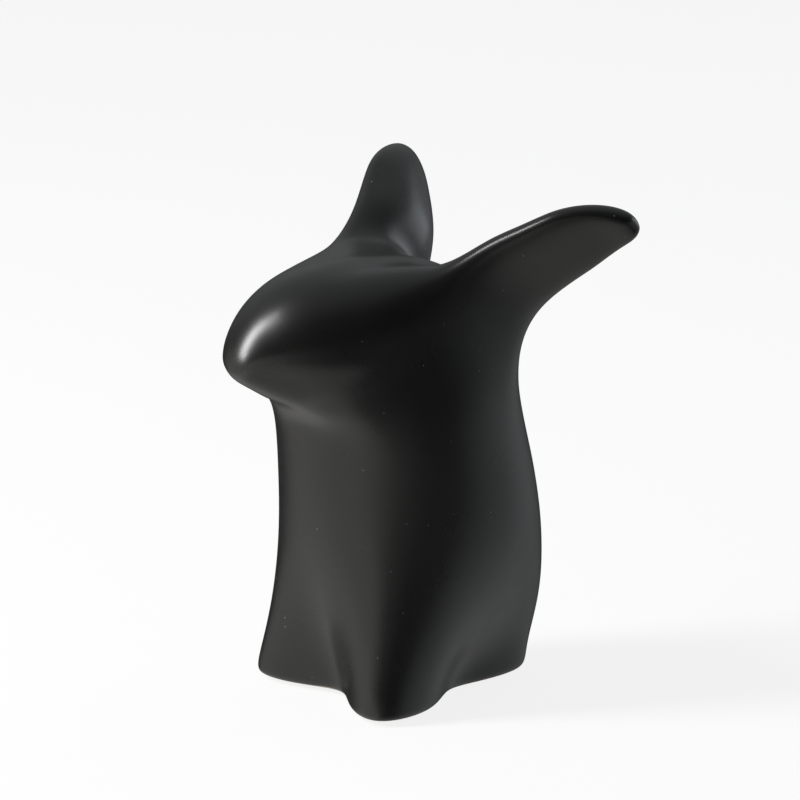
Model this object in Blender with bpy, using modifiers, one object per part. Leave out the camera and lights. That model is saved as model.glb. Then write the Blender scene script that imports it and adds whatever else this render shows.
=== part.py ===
"""Penguin figurine in slip-cast stoneware.

A hollow body with its head, beak and three-lobed foot is cast in one piece. Two solid flippers are
luted to its shoulders, and a felt pad is stuck under each lobe of the foot.

The beak points along -Y, the penguin's left side is +X, and the pads rest on the plane z = 0. All the
dimensions below are in millimetres, and positions are from the trunk's own axis: hang() moves the
whole figure so that the middle of its outline lies on the origin.
"""

import math

import bmesh
import bpy
from mathutils import Matrix, Vector

MM = 0.001

PAD_THICKNESS = 1.0
PAD_RADIUS = 6.0
PAD_EDGE = 0.2
PAD_REACH = 0.6
GLUE_GAP = 0.3
UNDERSIDE = PAD_THICKNESS + GLUE_GAP

WALL = 6.0
POUR_HOLE_RADIUS = 10.0
JOINT_GAP = 0.3

# The block that parts a flipper from the body takes in the whole flipper, with room to spare
JOINT_BLOCK_WIDTH = 150.0
JOINT_BLOCK_DEPTH = 110.0

# How far the hollow of the head swells past its last ring, to the front and down
CAVITY_PEAK = (-3.0, -1.0)

# How far the points round a cap's middle swell, as a share of how far the middle does
CAP_SWELL = 0.75

FORM_LEVELS = 2
CAVITY_LEVELS = 1

GLAZE_COLOUR = (0.02, 0.02, 0.022)
GLAZE_ROUGHNESS = 0.25
FELT_COLOUR = (0.03, 0.03, 0.03)
FELT_ROUGHNESS = 0.95

# Where the points of a half ring stand, in degrees from the front line round the left side
TURNS = [0.0, 22.0, 42.5, 67.0, 90.0, 113.0, 141.0, 161.0, 180.0]
STEPS = len(TURNS) - 1
ROUND = [1.0] * len(TURNS)
LEVEL = [0.0] * len(TURNS)

# The foot's outline: two lobes to the front and the tail behind
FOOT = [0.54, 0.88, 1.31, 0.92, 0.50, 0.44, 0.66, 1.03, 1.05]

# The shoulders' outline, and how far the ridge between the flippers rises to each side
SHOULDER = [1.0, 1.0, 1.0, 1.0, 1.04, 1.15, 1.22, 1.06, 1.0]
SHOULDER_RISE = [0.0, 0.0, 0.0, 0.0, 0.0, 4.0, 6.0, -3.5, 0.0]

# The jaw's outline: it narrows to a soft keel under the head
JAW = [1.0, 0.92, 0.84, 1.0, 1.0, 1.02, 1.0, 1.0, 1.0]

# Height, front y, back y, half width, share of the foot's outline
TRUNK = [
    (UNDERSIDE, -39.0, 39.0, 39.0, 1.0),
    (UNDERSIDE, -46.0, 44.0, 46.0, 1.0),
    (UNDERSIDE + 2.5, -47.5, 45.5, 47.5, 1.0),
    (12.0, -46.5, 46.5, 46.5, 0.9),
    (30.0, -46.0, 53.0, 46.0, 0.5),
    (56.0, -46.0, 51.5, 46.0, 0.12),
    (82.0, -47.0, 45.0, 45.5, 0.0),
]

# Throat (y, z), nape (y, z), half width, shares of the shoulders' outline and of the jaw's
HEAD = [
    ((-47.0, 96.0), (38.0, 107.0), 46.0, 0.0, 0.0),
    ((-47.5, 103.5), (32.5, 131.0), 42.0, 0.0, -0.5),
    ((-50.0, 107.5), (23.0, 148.5), 38.5, 0.3, -0.8),
    ((-54.5, 109.5), (-2.0, 158.2), 33.0, 1.0, 0.2),
    ((-60.0, 111.5), (-27.0, 158.2), 30.0, 0.2, 0.9),
    ((-67.0, 116.5), (-49.5, 155.3), 22.5, 0.0, 1.0),
    ((-75.5, 122.0), (-61.5, 147.0), 12.0, 0.0, 0.3),
]
BEAK_TIP = (-71.5, 136.5)

# Name, place on the foot's outline and side of each pad
PADS = [("left_foot_pad", 2, 1.0), ("right_foot_pad", 2, -1.0), ("tail_pad", STEPS, 1.0)]

# A flipper grows from three bands of the form, between these two columns
ROOT_BANDS = (7, 10)
ROOT_COLUMNS = (5, 6)

# How far the root and the shoulder round it are smoothed, so that one flows into the other
ROOT_BLENDS = 18
SHOULDER_SHARE = 0.6

# Upper edge (x, y, z), lower edge (x, y, z), how thick in front of that line and behind it, and how far
# the face behind leads
FLIPPER = [
    ((34.0, 3.5, 167.4), (26.3, 27.0, 132.5), 8.0, 5.0, 4.0),
    ((44.0, 12.0, 171.2), (35.3, 38.2, 146.0), 6.5, 5.0, 1.0),
    ((52.4, 22.4, 178.5), (48.5, 44.9, 156.0), 5.5, 4.0, 0.0),
    ((59.2, 31.6, 180.2), (57.5, 48.8, 164.0), 5.0, 3.8, 0.0),
    ((65.2, 39.6, 178.8), (65.0, 49.8, 167.8), 4.4, 3.5, 0.0),
    ((68.8, 44.4, 175.6), (69.2, 48.6, 170.6), 2.4, 2.0, 0.0),
]

# How much of the thickness behind there is from the upper edge to the lower one: the face swells
CROWN = [0.55, 1.25, 1.3, 0.6]


def blend(shape, share):
    """The outline part of the way from a round one to this one."""
    return [1.0 + share * (radius - 1.0) for radius in shape]


def half_ring(front, back, half_width, outline=ROUND, rise=LEVEL):
    """Points of a half ring in the plane that holds its front and back points."""
    front, back = Vector((0.0, *front)), Vector((0.0, *back))
    middle, reach = (front + back) / 2, (back - front) / 2
    points = []
    for step, (degrees, radius, lift) in enumerate(zip(TURNS, outline, rise)):
        turn = math.radians(degrees)
        point = middle - reach * math.cos(turn) * radius
        point.x = half_width * math.sin(turn) * radius if 0 < step < STEPS else 0.0
        point.z += lift
        points.append(point)
    return points


def head_outline(shoulder_share, jaw_share):
    return [upper * lower for upper, lower in zip(blend(SHOULDER, shoulder_share), blend(JAW, jaw_share))]


def form_rings():
    rings = []
    for height, front, back, half_width, share in TRUNK:
        rings.append(half_ring((front, height), (back, height), half_width, blend(FOOT, share)))
    for throat, nape, half_width, share, jaw_share in HEAD:
        rise = [share * lift for lift in SHOULDER_RISE]
        rings.append(half_ring(throat, nape, half_width, head_outline(share, jaw_share), rise))
    return rings


def inset(front, back):
    """The two ends of a ring, each moved toward the other by the wall."""
    front, back = Vector(front), Vector(back)
    step = (back - front).normalized() * WALL
    return front + step, back - step


def cavity_rings():
    rings = []
    height, front, back, half_width, share = TRUNK[2]
    floor = (UNDERSIDE + WALL, front, back, half_width, share)
    for height, front, back, half_width, share in [floor, *TRUNK[3:]]:
        ends = (front + WALL, height), (back - WALL, height)
        rings.append(half_ring(*ends, half_width - WALL, blend(FOOT, share)))
    for throat, nape, half_width, *shares in HEAD[:-1]:
        ends = inset(throat, nape)
        rings.append(half_ring(*ends, half_width - WALL, head_outline(*shares)))
    return rings


def flipper_ways():
    """Which way the flipper runs at each of its loops."""
    middles = [(Vector(upper) + Vector(lower)) / 2 for upper, lower, *_ in FLIPPER]
    ways = [after - before for before, after in zip(middles, middles[2:])]
    ways = [middles[1] - middles[0], *ways, middles[-1] - middles[-2]]
    return [way.normalized() for way in ways]


def flipper_across(upper, lower, way):
    """The direction through the flipper, from its outer face to its inner one."""
    across = way.cross(lower - upper).normalized()
    return -across if across.y < 0.0 else across


def flipper_loops():
    """Each loop goes up the outer face from the lower edge, then down the inner face."""
    shares = [0.0, 1 / 3, 2 / 3, 1.0]
    loops = []
    for (upper, lower, ahead, behind, lead), way in zip(FLIPPER, flipper_ways()):
        upper, lower = Vector(upper), Vector(lower)
        across = flipper_across(upper, lower, way)
        outer = [lower.lerp(upper, share) - across * ahead for share in shares]
        back = across * behind + way * lead
        inner = [lower.lerp(upper, share) + back * swell for share, swell in zip(reversed(shares), CROWN)]
        loops.append(outer + inner)
    return loops


def add_row(bm, points):
    return [bm.verts.new(point * MM) for point in points]


def add_bands(bm, rows, holes=()):
    for band, (below, above) in enumerate(zip(rows, rows[1:])):
        for column in range(STEPS):
            if (band, column) not in holes:
                bm.faces.new((below[column], below[column + 1], above[column + 1], above[column]))


def add_cap(bm, row, peak, turned=False):
    """Closes a half ring with a grid of quads that swells to the peak."""
    side = row[2:7]
    swell = peak * MM - (row[0].co + row[8].co) / 2
    grid = [[row[0], row[1], row[2]]]
    for line in range(1, 4):
        middle = row[0].co.lerp(row[8].co, line / 4)
        height = 1.0 if line == 2 else CAP_SWELL
        inner = bm.verts.new(middle + swell * height)
        outer = bm.verts.new(middle.lerp(side[line].co, 0.5) + swell * height * CAP_SWELL)
        grid.append([inner, outer, side[line]])
    grid.append([row[8], row[7], row[6]])
    for near, far in zip(grid, grid[1:]):
        for cell in range(2):
            corners = (near[cell], near[cell + 1], far[cell + 1], far[cell])
            bm.faces.new(corners[::-1] if turned else corners)


def weigh(bm, points, weight):
    """Marks points for the smoothing at the flipper's root."""
    group = bm.verts.layers.deform.active
    for point in points:
        point[group][0] = weight


def add_flipper(bm, rows):
    low, high = ROOT_BANDS
    outer, inner = ROOT_COLUMNS
    loop = [rows[band][outer] for band in range(low, high + 1)]
    loop += [rows[band][inner] for band in range(high, low - 1, -1)]
    for band in range(low, high + 1):
        weigh(bm, (rows[band][outer - 1], rows[band][inner + 1]), SHOULDER_SHARE)
    weigh(bm, loop, 1.0)
    for number, points in enumerate(flipper_loops()):
        following = add_row(bm, points)
        weigh(bm, following, max(0.0, 1.0 - number / 2))
        for corner in range(len(loop)):
            after = (corner + 1) % len(loop)
            bm.faces.new((following[corner], following[after], loop[after], loop[corner]))
        loop = following
    for corner in range(len(loop) // 2 - 1):
        bm.faces.new((loop[corner + 1], loop[corner], loop[-1 - corner], loop[-2 - corner]))


def root_holes():
    return {(band, ROOT_COLUMNS[0]) for band in range(*ROOT_BANDS)}


def to_mesh(bm, name):
    bmesh.ops.recalc_face_normals(bm, faces=bm.faces)
    mesh = bpy.data.meshes.new(name)
    bm.to_mesh(mesh)
    bm.free()
    mesh.shade_smooth()
    return mesh


def form_mesh():
    """The left half of the whole figure, open at the plane of symmetry."""
    bm = bmesh.new()
    bm.verts.layers.deform.new()
    rows = [add_row(bm, points) for points in form_rings()]
    add_bands(bm, rows, root_holes())
    add_cap(bm, rows[0], Vector((0.0, 0.0, UNDERSIDE)), turned=True)
    add_cap(bm, rows[-1], Vector((0.0, *BEAK_TIP)))
    add_flipper(bm, rows)
    return to_mesh(bm, "form")


def cavity_mesh():
    """The left half of the space that the drained slip leaves."""
    bm = bmesh.new()
    rings = cavity_rings()
    rows = [add_row(bm, points) for points in rings]
    add_bands(bm, rows)
    add_cap(bm, rows[0], Vector((0.0, 0.0, UNDERSIDE + WALL)), turned=True)
    add_cap(bm, rows[-1], (rings[-1][0] + rings[-1][-1]) / 2 + Vector((0.0, *CAVITY_PEAK)))
    return to_mesh(bm, "cavity")


def add_object(name, mesh, collection, material=None):
    obj = bpy.data.objects.new(name, mesh)
    collection.objects.link(obj)
    if material:
        mesh.materials.clear()
        mesh.materials.append(material)
    return obj


def add_soft_form(name, mesh, levels, collection, material=None):
    obj = add_object(name, mesh, collection, material)
    mirror = obj.modifiers.new("Mirror", "MIRROR")
    mirror.use_clip = True
    mirror.merge_threshold = 0.00005
    smooth = obj.modifiers.new("Subdivision", "SUBSURF")
    smooth.levels = levels
    smooth.render_levels = levels
    return obj


def blend_root(obj):
    """Smooths the joint between flipper and shoulder, which the figure's group marks."""
    obj.vertex_groups.new(name="flipper_root")
    blend = obj.modifiers.new("Blend", "SMOOTH")
    blend.vertex_group = "flipper_root"
    blend.factor = 0.5
    blend.iterations = ROOT_BLENDS


def add_boolean(obj, cutter, operation):
    boolean = obj.modifiers.new(f"{operation.title()} {cutter.name}", "BOOLEAN")
    boolean.operation = operation
    boolean.object = cutter
    boolean.solver = "EXACT"


def as_cutter(obj):
    obj.hide_render = True
    obj.display_type = "WIRE"
    return obj


def joint_frame():
    """Where a flipper meets the body: the plane of its first loop, with +Z pointing out along it."""
    upper, lower = Vector(FLIPPER[0][0]), Vector(FLIPPER[0][1])
    across = flipper_across(upper, lower, flipper_ways()[0])
    along = (upper - lower).normalized()
    outward = along.cross(across).normalized()
    if outward.x < 0.0:
        outward.negate()
    rotation = Matrix((across, outward.cross(across), outward)).transposed()
    return (upper + lower) / 2, rotation


def add_joint_cutter(name, side, start, collection):
    """A block that takes in one flipper, from this far outside the joint's plane."""
    size, depth = JOINT_BLOCK_WIDTH * MM, JOINT_BLOCK_DEPTH * MM
    bpy.ops.mesh.primitive_cube_add(size=1.0)
    cutter = bpy.context.object
    cutter.name = name
    for owner in list(cutter.users_collection):
        owner.objects.unlink(cutter)
    collection.objects.link(cutter)
    centre, rotation = joint_frame()
    place = Matrix.Translation(centre * MM) @ rotation.to_4x4()
    place = place @ Matrix.Translation((0.0, 0.0, start * MM + depth / 2))
    block = Matrix.Diagonal((size, size, depth, 1.0))
    flip = Matrix.Diagonal((side, 1.0, 1.0, 1.0))
    cutter.data.transform(flip @ place @ block)
    if side < 0:
        cutter.data.flip_normals()
    return as_cutter(cutter)


def add_cylinder(name, radius, bottom, top, x, y, collection, material=None):
    bpy.ops.mesh.primitive_cylinder_add(vertices=32, radius=radius * MM, depth=(top - bottom) * MM)
    obj = bpy.context.object
    obj.name = name
    for owner in list(obj.users_collection):
        owner.objects.unlink(obj)
    collection.objects.link(obj)
    obj.location = (x * MM, y * MM, (top + bottom) / 2 * MM)
    obj.data.name = name
    if material:
        obj.data.materials.append(material)
    return obj


def add_pad(name, place, side, collection):
    felt = add_material(f"{name}_felt", FELT_COLOUR, FELT_ROUGHNESS)
    x, y = side * place.x, place.y
    pad = add_cylinder(name, PAD_RADIUS, 0.0, PAD_THICKNESS, x, y, collection, felt)
    bevel = pad.modifiers.new("Bevel", "BEVEL")
    bevel.width = PAD_EDGE * MM
    bevel.segments = 1
    pad.data.shade_smooth()
    pad.data.set_sharp_from_angle(angle=math.radians(40.0))
    return pad


def lobe_place(step):
    """Where a pad goes under the lobe at this step of the foot's outline."""
    height, front, back, half_width, share = TRUNK[1]
    outline = [PAD_REACH * radius for radius in blend(FOOT, share)]
    return half_ring((front, height), (back, height), half_width, outline)[step]


def add_material(name, colour, roughness):
    material = bpy.data.materials.new(name)
    material.use_nodes = True
    shader = material.node_tree.nodes["Principled BSDF"]
    shader.inputs["Base Color"].default_value = (*colour, 1.0)
    shader.inputs["Roughness"].default_value = roughness
    shader.inputs["Metallic"].default_value = 0.0
    return material


def outline_middle(form):
    """The middle of the figure's front to back extent, from the form as it is subdivided."""
    mesh = form.evaluated_get(bpy.context.evaluated_depsgraph_get()).to_mesh()
    front = min(vertex.co.y for vertex in mesh.vertices)
    back = max(vertex.co.y for vertex in mesh.vertices)
    return (front + back) / 2


def add_casting(parts):
    """The whole figure's form, which the cutters then hollow and part from its flippers."""
    glaze = add_material("body_glaze", GLAZE_COLOUR, GLAZE_ROUGHNESS)
    body = add_soft_form("body_casting", form_mesh(), FORM_LEVELS, parts, glaze)
    blend_root(body)
    return body


def hollow_out(body, cutters):
    cavity = as_cutter(add_soft_form("cavity", cavity_mesh(), CAVITY_LEVELS, cutters))
    top = UNDERSIDE + 2 * WALL
    hole = as_cutter(add_cylinder("pour_hole", POUR_HOLE_RADIUS, -top, top, 0.0, 0.0, cutters))
    add_boolean(body, cavity, "DIFFERENCE")
    add_boolean(body, hole, "DIFFERENCE")
    return [cavity, hole]


def add_flipper_piece(side_name, side, body, parts, cutters):
    """A solid flipper, and the joint that parts it from the body."""
    name = f"{side_name}_flipper"
    glaze = add_material(f"{name}_glaze", GLAZE_COLOUR, GLAZE_ROUGHNESS)
    flipper = add_soft_form(name, form_mesh(), FORM_LEVELS, parts, glaze)
    blend_root(flipper)
    keep = add_joint_cutter(f"{side_name}_keep", side, JOINT_GAP / 2, cutters)
    clear = add_joint_cutter(f"{side_name}_clear", side, -JOINT_GAP / 2, cutters)
    add_boolean(flipper, keep, "INTERSECT")
    add_boolean(body, clear, "DIFFERENCE")
    return [flipper, keep, clear]


def hang(objects, middle):
    """Hangs everything on one empty that brings the outline's middle to the origin."""
    root = bpy.data.objects.new("penguin_root", None)
    bpy.context.scene.collection.objects.link(root)
    root.location.y = -middle
    for obj in objects:
        obj.parent = root


def add_collection(name):
    collection = bpy.data.collections.new(name)
    bpy.context.scene.collection.children.link(collection)
    return collection


def build():
    for obj in list(bpy.data.objects):
        bpy.data.objects.remove(obj)
    parts = add_collection("penguin_figurine")
    cutters = add_collection("cutters")

    body = add_casting(parts)
    middle = outline_middle(body)
    objects = [body]
    for side_name, side in (("left", 1.0), ("right", -1.0)):
        objects += add_flipper_piece(side_name, side, body, parts, cutters)
    objects += hollow_out(body, cutters)
    for name, step, side in PADS:
        objects.append(add_pad(name, lobe_place(step), side, parts))
    hang(objects, middle)


build()
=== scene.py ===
"""The looks of the penguin figurine: one glazed skin over its clay, felt pads, a plain studio and the camera.

Lengths are in millimetres where MM turns them into metres. The figure's cage has the same values as its
CAD source, and positions are from the trunk's own axis, which AXIS places in the frame.
"""

import math

import bmesh
import bpy
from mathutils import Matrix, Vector


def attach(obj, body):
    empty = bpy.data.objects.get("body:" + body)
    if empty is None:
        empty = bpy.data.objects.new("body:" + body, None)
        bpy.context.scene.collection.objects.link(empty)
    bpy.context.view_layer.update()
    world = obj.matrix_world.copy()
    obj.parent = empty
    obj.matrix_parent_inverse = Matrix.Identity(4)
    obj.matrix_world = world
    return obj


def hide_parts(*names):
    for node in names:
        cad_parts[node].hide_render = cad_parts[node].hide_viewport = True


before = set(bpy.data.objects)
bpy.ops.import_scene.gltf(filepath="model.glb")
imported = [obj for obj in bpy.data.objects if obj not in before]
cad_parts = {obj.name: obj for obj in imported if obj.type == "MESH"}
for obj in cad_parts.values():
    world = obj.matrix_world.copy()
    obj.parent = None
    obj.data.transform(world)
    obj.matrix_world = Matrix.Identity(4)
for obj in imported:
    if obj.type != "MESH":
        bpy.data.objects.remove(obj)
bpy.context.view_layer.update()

MM = 0.001

# Where the trunk's own axis stands in the frame, in millimetres
AXIS = Vector((0.0, 11.18, 0.0))

# The body's casting: how high it stands on its pads, its wall and the hole in its underside
UNDERSIDE = 1.3
WALL = 6.0
POUR_HOLE_RADIUS = 10.0
HOLE_EDGE = 0.8

# The points of each half ring, by how far they are round from the front, in degrees
TURNS = [0.0, 22.0, 42.5, 67.0, 90.0, 113.0, 141.0, 161.0, 180.0]
STEPS = len(TURNS) - 1

# Outlines: how far out each point is, as a share of a round one, and how far the shoulder's points rise
ROUND = [1.0] * len(TURNS)
LEVEL = [0.0] * len(TURNS)
FOOT = [0.54, 0.88, 1.31, 0.92, 0.50, 0.44, 0.66, 1.03, 1.05]
SHOULDER = [1.0, 1.0, 1.0, 1.0, 1.04, 1.15, 1.22, 1.06, 1.0]
SHOULDER_RISE = [0.0, 0.0, 0.0, 0.0, 0.0, 4.0, 6.0, -3.5, 0.0]
JAW = [1.0, 0.92, 0.84, 1.0, 1.0, 1.02, 1.0, 1.0, 1.0]

# The trunk's rings: height, front, back, half width and how much of the foot's outline they have
TRUNK = [
    (UNDERSIDE, -39.0, 39.0, 39.0, 1.0),
    (UNDERSIDE, -46.0, 44.0, 46.0, 1.0),
    (UNDERSIDE + 2.5, -47.5, 45.5, 47.5, 1.0),
    (12.0, -46.5, 46.5, 46.5, 0.9),
    (30.0, -46.0, 53.0, 46.0, 0.5),
    (56.0, -46.0, 51.5, 46.0, 0.12),
    (82.0, -47.0, 45.0, 45.5, 0.0),
]

# The head's rings: front and back points, half width and how much of the shoulder's and the jaw's outline
HEAD = [
    ((-47.0, 96.0), (38.0, 107.0), 46.0, 0.0, 0.0),
    ((-47.5, 103.5), (32.5, 131.0), 42.0, 0.0, -0.5),
    ((-50.0, 107.5), (23.0, 148.5), 38.5, 0.3, -0.8),
    ((-54.5, 109.5), (-2.0, 158.2), 33.0, 1.0, 0.2),
    ((-60.0, 111.5), (-27.0, 158.2), 30.0, 0.2, 0.9),
    ((-67.0, 116.5), (-49.5, 155.3), 22.5, 0.0, 1.0),
    ((-75.5, 122.0), (-61.5, 147.0), 12.0, 0.0, 0.3),
]

# How far the points round a cap's middle swell, as a share of how far the middle does
CAP_SWELL = 0.75

# How far the hollow of the head swells past its last ring, to the front and down
CAVITY_PEAK = (-3.0, -1.0)

BEAK_TIP = (-71.5, 136.5)

# The faces that the left flipper grows from, how often its root is smoothed, how far the smoothing moves
# points each time, and the share of it that the points round the root get
ROOT_BANDS = (7, 10)
ROOT_COLUMNS = (5, 6)
ROOT_BLENDS = 18
BLEND_STEP = 0.5
SHOULDER_SHARE = 0.6

# The flipper's loops: upper and lower edge, how far the outer and the inner face stand off the line between
# them, and how far the inner face leads along the flipper
FLIPPER = [
    ((34.0, 3.5, 167.4), (26.3, 27.0, 132.5), 8.0, 5.0, 4.0),
    ((44.0, 12.0, 171.2), (35.3, 38.2, 146.0), 6.5, 5.0, 1.0),
    ((52.4, 22.4, 178.5), (48.5, 44.9, 156.0), 5.5, 4.0, 0.0),
    ((59.2, 31.6, 180.2), (57.5, 48.8, 164.0), 5.0, 3.8, 0.0),
    ((65.2, 39.6, 178.8), (65.0, 49.8, 167.8), 4.4, 3.5, 0.0),
    ((68.8, 44.4, 175.6), (69.2, 48.6, 170.6), 2.4, 2.0, 0.0),
]

# How much each point of the inner face swells, from the upper edge to the lower one
CROWN = [0.55, 1.25, 1.3, 0.6]

# The slot of the bare clay's material on the skin
BARE = 1

# The cage is subdivided this often before and after the flippers' roots are smoothed
FORM_LEVELS = 2
FINE_LEVELS = 3

# How close points are to the plane of symmetry when the mirror joins them, in metres
MIRROR_MERGE = 0.00005

# The camera: from where it looks, how far away it is and how high the point is that it looks at, in metres,
# its sensor's width in millimetres, its focal length and frame in pixels, and where in the frame that point is
VIEW_AZIMUTH = 54.5
VIEW_ELEVATION = 15.0
VIEW_DISTANCE = 2.0
VIEW_HEIGHT = 0.096
SENSOR_WIDTH = 36.0
FOCAL_PIXELS = 2000.0 / 0.35
FRAME_PIXELS = 800.0
AIM_PIXEL = (408.0, 420.0)

# The studio. Each direction in it is an azimuth and an elevation in degrees.
LAMP_DISTANCE = 1.6

# The lamps: azimuth, elevation, width, height, radiance, tint
SOFTBOXES = {
    "key_softbox": (-27.0, 34.0, 0.36, 1.3, 25.0, (1.0, 1.0, 1.0)),
    "fill_softbox": (174.0, 14.0, 0.9, 0.5, 1.5, (0.88, 0.95, 1.0)),
}

# The light that the figure sees in every direction
DARK_LEVEL = 0.045

# What the figure sees past the lamps: azimuth, elevation, the angle within which it is at its full level,
# the angle at which it has faded out, that level and its tint
WARM = (1.0, 0.995, 0.95)
COOL = (0.95, 0.985, 1.0)
TABLE_GLOW = [
    (-17.5, -20.0, 5.0, 70.0, 0.8, WARM),
    (34.5, -10.0, 5.0, 45.0, 0.16, WARM),
    (162.5, -10.0, 10.0, 58.0, 0.38, COOL),
    (54.5, -90.0, 15.0, 68.0, 0.42, WARM),
    (-85.5, -45.0, 8.0, 28.0, 0.35, WARM),
    (74.5, -20.0, 60.0, 120.0, 0.075, COOL),
]
CEILING_GLOW = [
    (234.5, 55.0, 10.0, 68.0, 0.34, COOL),
    (179.5, 30.0, 15.0, 50.0, 0.1, COOL),
]

# The table's glow ends between these two elevations, as the sines of their angles
TABLE_FULL = 0.0
TABLE_ENDS = 0.26

FLOOR_SIZE = 6.0
FLOOR_COLOUR = (0.9, 0.9, 0.9, 1.0)
FLOOR_ROUGHNESS = 0.9

# How much of the floor's white is its own, so that the backdrop is white and the shadow soft
FLOOR_GLOW = 0.85

# The surfaces: their colours, how rough they are and how deep their relief is in millimetres
GLAZE_DARK = (0.0055, 0.0055, 0.0057, 1.0)
GLAZE_PALE = (0.0085, 0.0082, 0.0078, 1.0)
DUST = (0.3, 0.3, 0.29, 1.0)
CLAY_DARK = (0.26, 0.19, 0.13, 1.0)
CLAY_PALE = (0.46, 0.36, 0.26, 1.0)
FELT_DARK = (0.012, 0.012, 0.012, 1.0)
FELT_PALE = (0.06, 0.058, 0.055, 1.0)
SATIN_ROUGHNESS = (0.24, 0.34)
BARE_ROUGHNESS = 0.85
CLAY_ROUGHNESS = 0.9
FELT_ROUGHNESS = 0.95
WAVE_DEPTH = 0.03
CLAY_GRAIN_DEPTH = 0.08
FIBRE_DEPTH = 0.15

# How fine the patterns are, in features to the metre
CLOUD_SCALE = 60.0
SATIN_SCALE = 90.0
WAVE_SCALE = 60.0
WANDER_SCALE = 120.0
CLAY_SCALE = 900.0
CLAY_GRAIN_SCALE = 1100.0
FIBRE_SCALE = 2600.0
DUST_SCALE = 300.0

# A speck of dust is whole out to the first of these shares of its cell and gone at the second, and only cells
# whose random value is above this one have a speck
DUST_REACH = (0.035, 0.07)
DUST_CHANCE = 0.72

# The glaze stops this far above the plane the pads rest on, in a line that wanders by that much
GLAZE_LINE = 2.1
GLAZE_WANDER = 0.5
GLAZE_FEATHER = 0.25


def blend(shape, share):
    """The outline part of the way from a round one to this one."""
    return [1.0 + share * (radius - 1.0) for radius in shape]


def half_ring(front, back, half_width, outline=ROUND, rise=LEVEL):
    """Points of a half ring in the plane that holds its front and back points."""
    front, back = Vector((0.0, *front)), Vector((0.0, *back))
    middle, reach = (front + back) / 2, (back - front) / 2
    points = []
    for step, (degrees, radius, lift) in enumerate(zip(TURNS, outline, rise)):
        turn = math.radians(degrees)
        point = middle - reach * math.cos(turn) * radius
        point.x = half_width * math.sin(turn) * radius if 0 < step < STEPS else 0.0
        point.z += lift
        points.append(point)
    return points


def head_outline(shoulder_share, jaw_share):
    return [upper * lower for upper, lower in zip(blend(SHOULDER, shoulder_share), blend(JAW, jaw_share))]


def hole_ring(radius, height):
    return half_ring((-radius, height), (radius, height), radius)


def form_rings():
    rings = []
    for height, front, back, half_width, share in TRUNK:
        rings.append(half_ring((front, height), (back, height), half_width, blend(FOOT, share)))
    for throat, nape, half_width, share, jaw_share in HEAD:
        rise = [share * lift for lift in SHOULDER_RISE]
        rings.append(half_ring(throat, nape, half_width, head_outline(share, jaw_share), rise))
    return rings


def inset(front, back):
    """The two ends of a ring, each moved toward the other by the wall."""
    front, back = Vector(front), Vector(back)
    step = (back - front).normalized() * WALL
    return front + step, back - step


def hollow_rings():
    """Up through the pour hole, across the hollow's floor and up its wall."""
    top = UNDERSIDE + WALL
    rings = [
        hole_ring(POUR_HOLE_RADIUS + HOLE_EDGE, UNDERSIDE),
        hole_ring(POUR_HOLE_RADIUS, UNDERSIDE + HOLE_EDGE),
        hole_ring(POUR_HOLE_RADIUS, top - HOLE_EDGE),
        hole_ring(POUR_HOLE_RADIUS + HOLE_EDGE, top),
    ]
    floor = (top, *TRUNK[2][1:])
    for height, front, back, half_width, share in [floor, *TRUNK[3:]]:
        ends = (front + WALL, height), (back - WALL, height)
        rings.append(half_ring(*ends, half_width - WALL, blend(FOOT, share)))
    for throat, nape, half_width, *shares in HEAD[:-1]:
        ends = inset(throat, nape)
        rings.append(half_ring(*ends, half_width - WALL, head_outline(*shares)))
    return rings


def flipper_ways():
    """Which way the flipper runs at each of its loops."""
    middles = [(Vector(upper) + Vector(lower)) / 2 for upper, lower, *_ in FLIPPER]
    ways = [after - before for before, after in zip(middles, middles[2:])]
    ways = [middles[1] - middles[0], *ways, middles[-1] - middles[-2]]
    return [way.normalized() for way in ways]


def flipper_across(upper, lower, way):
    """The direction through the flipper, from its outer face to its inner one."""
    across = way.cross(lower - upper).normalized()
    return -across if across.y < 0.0 else across


def flipper_loops():
    """Each loop goes up the outer face from the lower edge, then down the inner face."""
    shares = [0.0, 1 / 3, 2 / 3, 1.0]
    loops = []
    for (upper, lower, ahead, behind, lead), way in zip(FLIPPER, flipper_ways()):
        upper, lower = Vector(upper), Vector(lower)
        across = flipper_across(upper, lower, way)
        outer = [lower.lerp(upper, share) - across * ahead for share in shares]
        back = across * behind + way * lead
        inner = [lower.lerp(upper, share) + back * swell for share, swell in zip(reversed(shares), CROWN)]
        loops.append(outer + inner)
    return loops


def add_row(bm, points):
    return [bm.verts.new((point + AXIS) * MM) for point in points]


def add_bands(bm, rows, holes=(), material=0):
    for band, (below, above) in enumerate(zip(rows, rows[1:])):
        for column in range(STEPS):
            if (band, column) not in holes:
                corners = (below[column], below[column + 1], above[column + 1], above[column])
                bm.faces.new(corners).material_index = material


def add_cap(bm, row, peak, material=0):
    """Closes a half ring with a grid of quads that swells to the peak."""
    side = row[2:7]
    swell = (peak + AXIS) * MM - (row[0].co + row[8].co) / 2
    grid = [[row[0], row[1], row[2]]]
    for line in range(1, 4):
        middle = row[0].co.lerp(row[8].co, line / 4)
        height = 1.0 if line == 2 else CAP_SWELL
        inner = bm.verts.new(middle + swell * height)
        outer = bm.verts.new(middle.lerp(side[line].co, 0.5) + swell * height * CAP_SWELL)
        grid.append([inner, outer, side[line]])
    grid.append([row[8], row[7], row[6]])
    for near, far in zip(grid, grid[1:]):
        for cell in range(2):
            corners = (near[cell], near[cell + 1], far[cell + 1], far[cell])
            bm.faces.new(corners).material_index = material


def weigh(bm, points, weight):
    """Marks points for the smoothing at the flipper's root."""
    group = bm.verts.layers.deform.active
    for point in points:
        point[group][0] = weight


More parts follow.
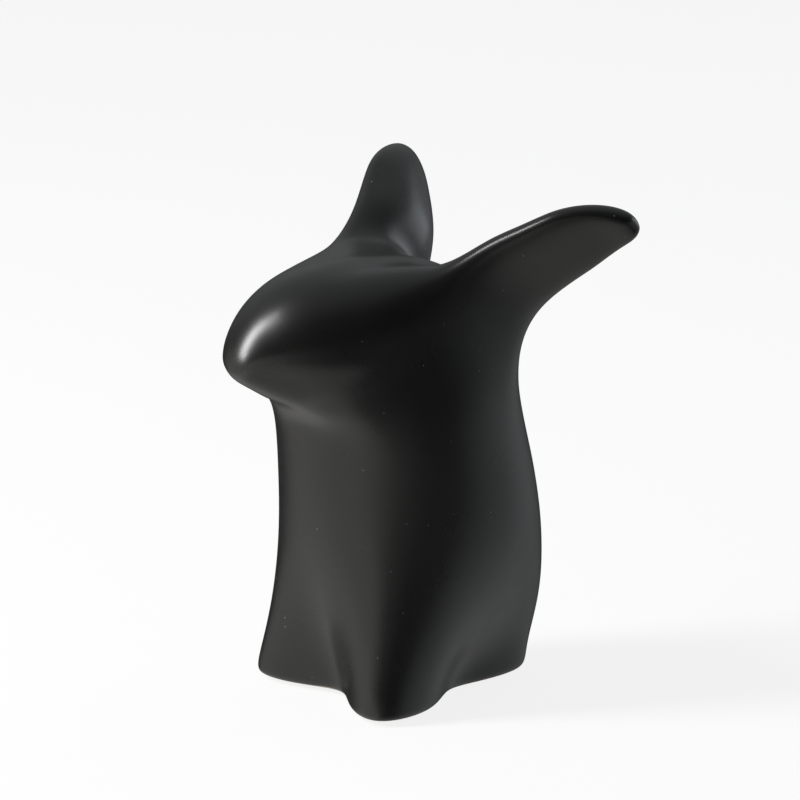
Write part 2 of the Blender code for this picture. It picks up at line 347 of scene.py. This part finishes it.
def add_flipper(bm, rows):
    low, high = ROOT_BANDS
    outer, inner = ROOT_COLUMNS
    loop = [rows[band][outer] for band in range(low, high + 1)]
    loop += [rows[band][inner] for band in range(high, low - 1, -1)]
    for band in range(low, high + 1):
        weigh(bm, (rows[band][outer - 1], rows[band][inner + 1]), SHOULDER_SHARE)
    weigh(bm, loop, 1.0)
    for number, points in enumerate(flipper_loops()):
        following = add_row(bm, points)
        weigh(bm, following, max(0.0, 1.0 - number / 2))
        for corner in range(len(loop)):
            after = (corner + 1) % len(loop)
            bm.faces.new((following[corner], following[after], loop[after], loop[corner]))
        loop = following
    for corner in range(len(loop) // 2 - 1):
        bm.faces.new((loop[corner + 1], loop[corner], loop[-1 - corner], loop[-2 - corner]))


def root_holes():
    return {(band, ROOT_COLUMNS[0]) for band in range(*ROOT_BANDS)}


def form_mesh():
    """The left half of the whole figure with its hollow, open at the plane of symmetry."""
    bm = bmesh.new()
    bm.verts.layers.deform.new()
    outer = [add_row(bm, points) for points in form_rings()]
    hollow = hollow_rings()
    inner = [add_row(bm, points) for points in hollow]
    add_bands(bm, outer, root_holes())
    add_bands(bm, [outer[0], *inner], material=BARE)
    add_cap(bm, outer[-1], Vector((0.0, *BEAK_TIP)))
    add_cap(bm, inner[-1], (hollow[-1][0] + hollow[-1][-1]) / 2 + Vector((0.0, *CAVITY_PEAK)), BARE)
    add_flipper(bm, outer)
    bmesh.ops.recalc_face_normals(bm, faces=bm.faces)
    mesh = bpy.data.meshes.new("glazed_skin")
    bm.to_mesh(mesh)
    bm.free()
    mesh.shade_smooth()
    return mesh


def link(name, data):
    obj = bpy.data.objects.new(name, data)
    bpy.context.scene.collection.objects.link(obj)
    return obj


def subdivide(obj, levels):
    smooth = obj.modifiers.new("Subdivision", "SUBSURF")
    smooth.levels = levels
    smooth.render_levels = levels


def make_skin():
    skin = link("glazed_skin", form_mesh())
    skin.vertex_groups.new(name="flipper_root")
    mirror = skin.modifiers.new("Mirror", "MIRROR")
    mirror.use_clip = True
    mirror.merge_threshold = MIRROR_MERGE
    subdivide(skin, FORM_LEVELS)
    smooth = skin.modifiers.new("Blend", "SMOOTH")
    smooth.vertex_group = "flipper_root"
    smooth.factor = BLEND_STEP
    smooth.iterations = ROOT_BLENDS
    subdivide(skin, FINE_LEVELS)
    skin.data.materials.append(glaze_material())
    skin.data.materials.append(clay_material())
    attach(skin, "root")
    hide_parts("body_casting", "left_flipper", "right_flipper")
    return skin


def add_node(tree, kind, **values):
    node = tree.nodes.new(kind)
    for name, value in values.items():
        setattr(node, name, value)
    return node


def add_noise(tree, place, scale, detail=2.0, roughness=0.5):
    noise = add_node(tree, "ShaderNodeTexNoise")
    noise.inputs["Scale"].default_value = scale
    noise.inputs["Detail"].default_value = detail
    noise.inputs["Roughness"].default_value = roughness
    tree.links.new(place, noise.inputs["Vector"])
    return noise.outputs["Fac"]


def add_range(tree, value, low, high, start=0.0, end=1.0, kind="LINEAR"):
    """The value brought from one range to another, and held at its ends."""
    mapped = add_node(tree, "ShaderNodeMapRange", interpolation_type=kind)
    mapped.inputs["From Min"].default_value = low
    mapped.inputs["From Max"].default_value = high
    mapped.inputs["To Min"].default_value = start
    mapped.inputs["To Max"].default_value = end
    tree.links.new(value, mapped.inputs["Value"])
    return mapped.outputs["Result"]


def add_mix(tree, share, first, second):
    """One colour fading into another. Either is a plain colour or an output."""
    mix = add_node(tree, "ShaderNodeMix", data_type="RGBA")
    tree.links.new(share, mix.inputs["Factor"])
    for name, colour in (("A", first), ("B", second)):
        socket = [entry for entry in mix.inputs if entry.name == name and entry.type == "RGBA"][0]
        if isinstance(colour, tuple):
            socket.default_value = colour
        else:
            tree.links.new(colour, socket)
    return [entry for entry in mix.outputs if entry.type == "RGBA"][0]


def add_math(tree, operation, first, second):
    node = add_node(tree, "ShaderNodeMath", operation=operation)
    for socket, value in zip(node.inputs, (first, second)):
        if isinstance(value, float):
            socket.default_value = value
        else:
            tree.links.new(value, socket)
    return node.outputs["Value"]


def add_bump(tree, height, depth):
    """A relief this many millimetres deep."""
    bump = add_node(tree, "ShaderNodeBump")
    bump.inputs["Distance"].default_value = depth * MM
    tree.links.new(height, bump.inputs["Height"])
    return bump.outputs["Normal"]


def new_material(name):
    """A material's tree, its shader and the place on the object that its patterns go by."""
    material = bpy.data.materials.new(name)
    material.use_nodes = True
    tree = material.node_tree
    place = add_node(tree, "ShaderNodeTexCoord").outputs["Object"]
    return material, tree, tree.nodes["Principled BSDF"], place


def add_clay_colour(tree, place):
    """Bare clay with coarser and finer grain."""
    return add_mix(tree, add_noise(tree, place, CLAY_SCALE, 4.0, 0.7), CLAY_DARK, CLAY_PALE)


def add_dust(tree, place):
    """Where the few specks of dust and pinholes are."""
    cells = add_node(tree, "ShaderNodeTexVoronoi")
    cells.inputs["Scale"].default_value = DUST_SCALE
    tree.links.new(place, cells.inputs["Vector"])
    near = add_range(tree, cells.outputs["Distance"], *DUST_REACH, 1.0, 0.0)
    chosen = add_node(tree, "ShaderNodeSeparateColor")
    tree.links.new(cells.outputs["Color"], chosen.inputs["Color"])
    kept = add_range(tree, chosen.outputs["Red"], DUST_CHANCE, 1.0)
    return add_math(tree, "MULTIPLY", near, kept)


def add_bare_share(tree, place):
    """How bare the clay is: all of it below the line where the glaze stops."""
    height = add_node(tree, "ShaderNodeSeparateXYZ")
    tree.links.new(place, height.inputs["Vector"])
    wander = add_range(tree, add_noise(tree, place, WANDER_SCALE, 3.0), 0.3, 0.7, 0.0, GLAZE_WANDER * MM)
    level = add_math(tree, "ADD", height.outputs["Z"], wander)
    low, high = GLAZE_LINE, GLAZE_LINE + GLAZE_WANDER / 2 + GLAZE_FEATHER
    return add_range(tree, level, low * MM, high * MM, 1.0, 0.0)


def glaze_material():
    """Satin black glaze, with a few specks in it, that stops just above the foot's edge."""
    material, tree, shader, place = new_material("satin_glaze")
    cloud = add_noise(tree, place, CLOUD_SCALE, 1.0)
    glaze = add_mix(tree, add_dust(tree, place), add_mix(tree, cloud, GLAZE_DARK, GLAZE_PALE), DUST)
    bare = add_bare_share(tree, place)
    colour = add_mix(tree, bare, glaze, add_clay_colour(tree, place))
    tree.links.new(colour, shader.inputs["Base Color"])
    satin = add_range(tree, add_noise(tree, place, SATIN_SCALE, 1.0), 0.0, 1.0, *SATIN_ROUGHNESS)
    finish = add_math(tree, "MAXIMUM", satin, add_math(tree, "MULTIPLY", bare, BARE_ROUGHNESS))
    tree.links.new(finish, shader.inputs["Roughness"])
    waves = add_bump(tree, add_noise(tree, place, WAVE_SCALE, 0.0), WAVE_DEPTH)
    tree.links.new(waves, shader.inputs["Normal"])
    return material


def clay_material():
    """Dry bare clay, in the hollow and under the foot."""
    material, tree, shader, place = new_material("bare_clay")
    tree.links.new(add_clay_colour(tree, place), shader.inputs["Base Color"])
    shader.inputs["Roughness"].default_value = CLAY_ROUGHNESS
    grain = add_bump(tree, add_noise(tree, place, CLAY_GRAIN_SCALE, 4.0, 0.7), CLAY_GRAIN_DEPTH)
    tree.links.new(grain, shader.inputs["Normal"])
    return material


def felt_material():
    """Dark pressed felt with loose fibres."""
    material, tree, shader, place = new_material("dark_felt")
    fibres = add_noise(tree, place, FIBRE_SCALE, 6.0, 0.75)
    tree.links.new(add_mix(tree, fibres, FELT_DARK, FELT_PALE), shader.inputs["Base Color"])
    shader.inputs["Roughness"].default_value = FELT_ROUGHNESS
    tree.links.new(add_bump(tree, fibres, FIBRE_DEPTH), shader.inputs["Normal"])
    return material


def dress_pads():
    felt = felt_material()
    for name in ("left_foot_pad", "right_foot_pad", "tail_pad"):
        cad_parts[name].data.materials[0] = felt


def toward(azimuth, elevation):
    """The direction from the figure, with azimuth 0 at -Y and 90 at +X, in degrees."""
    turn, rise = math.radians(azimuth), math.radians(elevation)
    return Vector((math.sin(turn) * math.cos(rise), -math.cos(turn) * math.cos(rise), math.sin(rise)))


def make_camera():
    camera = bpy.data.cameras.new("camera")
    camera.sensor_width = SENSOR_WIDTH
    camera.lens = SENSOR_WIDTH * FOCAL_PIXELS / FRAME_PIXELS
    camera.shift_x = (FRAME_PIXELS / 2 - AIM_PIXEL[0]) / FRAME_PIXELS
    camera.shift_y = (AIM_PIXEL[1] - FRAME_PIXELS / 2) / FRAME_PIXELS
    obj = link("camera", camera)
    aim = Vector((0.0, AXIS.y * MM, VIEW_HEIGHT))
    back = toward(VIEW_AZIMUTH, VIEW_ELEVATION)
    obj.location = aim + back * VIEW_DISTANCE
    obj.rotation_euler = (-back).to_track_quat("-Z", "Y").to_euler()
    bpy.context.scene.camera = obj


def only_for_camera(tree, seen, other, share=1.0):
    """A shader that the camera sees in this share, in place of the other that lights the figure."""
    rays = add_node(tree, "ShaderNodeLightPath").outputs["Is Camera Ray"]
    mix = add_node(tree, "ShaderNodeMixShader")
    tree.links.new(add_math(tree, "MULTIPLY", rays, share), mix.inputs["Fac"])
    tree.links.new(other, mix.inputs[1])
    tree.links.new(seen, mix.inputs[2])
    return mix.outputs["Shader"]


def floor_material():
    material = bpy.data.materials.new("white_floor")
    material.use_nodes = True
    tree = material.node_tree
    shader = tree.nodes["Principled BSDF"]
    shader.inputs["Base Color"].default_value = FLOOR_COLOUR
    shader.inputs["Roughness"].default_value = FLOOR_ROUGHNESS
    white = add_node(tree, "ShaderNodeEmission").outputs["Emission"]
    surface = only_for_camera(tree, white, shader.outputs["BSDF"], FLOOR_GLOW)
    tree.links.new(surface, tree.nodes["Material Output"].inputs["Surface"])
    return material


def make_floor():
    mesh = bpy.data.meshes.new("floor")
    bm = bmesh.new()
    bmesh.ops.create_grid(bm, x_segments=1, y_segments=1, size=FLOOR_SIZE)
    bm.to_mesh(mesh)
    bm.free()
    floor = link("floor", mesh)
    floor.visible_glossy = False
    mesh.materials.append(floor_material())


def add_softbox(name, azimuth, elevation, width, height, radiance, tint):
    """An upright area lamp that faces the figure."""
    lamp = bpy.data.lights.new(name, "AREA")
    lamp.shape = "RECTANGLE"
    lamp.size = width
    lamp.size_y = height
    lamp.energy = math.pi * radiance * width * height
    lamp.color = tint
    obj = link(name, lamp)
    back = toward(azimuth, elevation)
    obj.location = back * LAMP_DISTANCE + Vector((0.0, 0.0, VIEW_HEIGHT))
    obj.rotation_euler = (-back).to_track_quat("-Z", "Y").to_euler()


def add_glow(tree, direction, azimuth, elevation, full, faded, level, tint):
    """The light of one part of the studio in each direction."""
    dot = add_node(tree, "ShaderNodeVectorMath", operation="DOT_PRODUCT")
    dot.inputs[1].default_value = toward(azimuth, elevation)
    tree.links.new(direction, dot.inputs[0])
    edges = math.cos(math.radians(faded)), math.cos(math.radians(full))
    share = add_range(tree, dot.outputs["Value"], *edges, 0.0, level, "SMOOTHSTEP")
    return add_scaled(tree, tint, share)


def add_scaled(tree, vector, share):
    """A vector, plain or an output, times a number."""
    scaled = add_node(tree, "ShaderNodeVectorMath", operation="SCALE")
    if isinstance(vector, tuple):
        scaled.inputs[0].default_value = vector
    else:
        tree.links.new(vector, scaled.inputs[0])
    tree.links.new(share, scaled.inputs["Scale"])
    return scaled.outputs["Vector"]


def add_even(tree, level):
    """The same neutral light in every direction."""
    even = add_node(tree, "ShaderNodeCombineXYZ")
    for socket in even.inputs:
        socket.default_value = level
    return even.outputs["Vector"]


def add_sum(tree, vectors):
    total = vectors[0]
    for vector in vectors[1:]:
        both = add_node(tree, "ShaderNodeVectorMath", operation="ADD")
        tree.links.new(total, both.inputs[0])
        tree.links.new(vector, both.inputs[1])
        total = both.outputs["Vector"]
    return total


def make_world():
    """A white backdrop for the camera, and a bright table in a dark studio for the figure to reflect."""
    world = bpy.data.worlds.new("studio")
    bpy.context.scene.world = world
    world.use_nodes = True
    tree = world.node_tree
    direction = add_node(tree, "ShaderNodeTexCoord").outputs["Generated"]
    height = add_node(tree, "ShaderNodeSeparateXYZ")
    tree.links.new(direction, height.inputs["Vector"])
    below = add_range(tree, height.outputs["Z"], TABLE_FULL, TABLE_ENDS, 1.0, 0.0, "SMOOTHSTEP")
    table = [add_glow(tree, direction, *glow) for glow in TABLE_GLOW]
    table = add_scaled(tree, add_sum(tree, table), below)
    ceiling = [add_glow(tree, direction, *glow) for glow in CEILING_GLOW]
    total = add_sum(tree, [add_even(tree, DARK_LEVEL), table, *ceiling])
    studio = tree.nodes["Background"]
    tree.links.new(total, studio.inputs["Color"])
    backdrop = add_node(tree, "ShaderNodeBackground")
    backdrop.inputs["Color"].default_value = (1.0, 1.0, 1.0, 1.0)
    surface = only_for_camera(tree, backdrop.outputs["Background"], studio.outputs["Background"])
    tree.links.new(surface, tree.nodes["World Output"].inputs["Surface"])


def make_lights():
    make_world()
    for name, values in SOFTBOXES.items():
        add_softbox(name, *values)


make_skin()
dress_pads()
make_camera()
make_floor()
make_lights()

bpy.context.scene.view_settings.view_transform = "Standard"
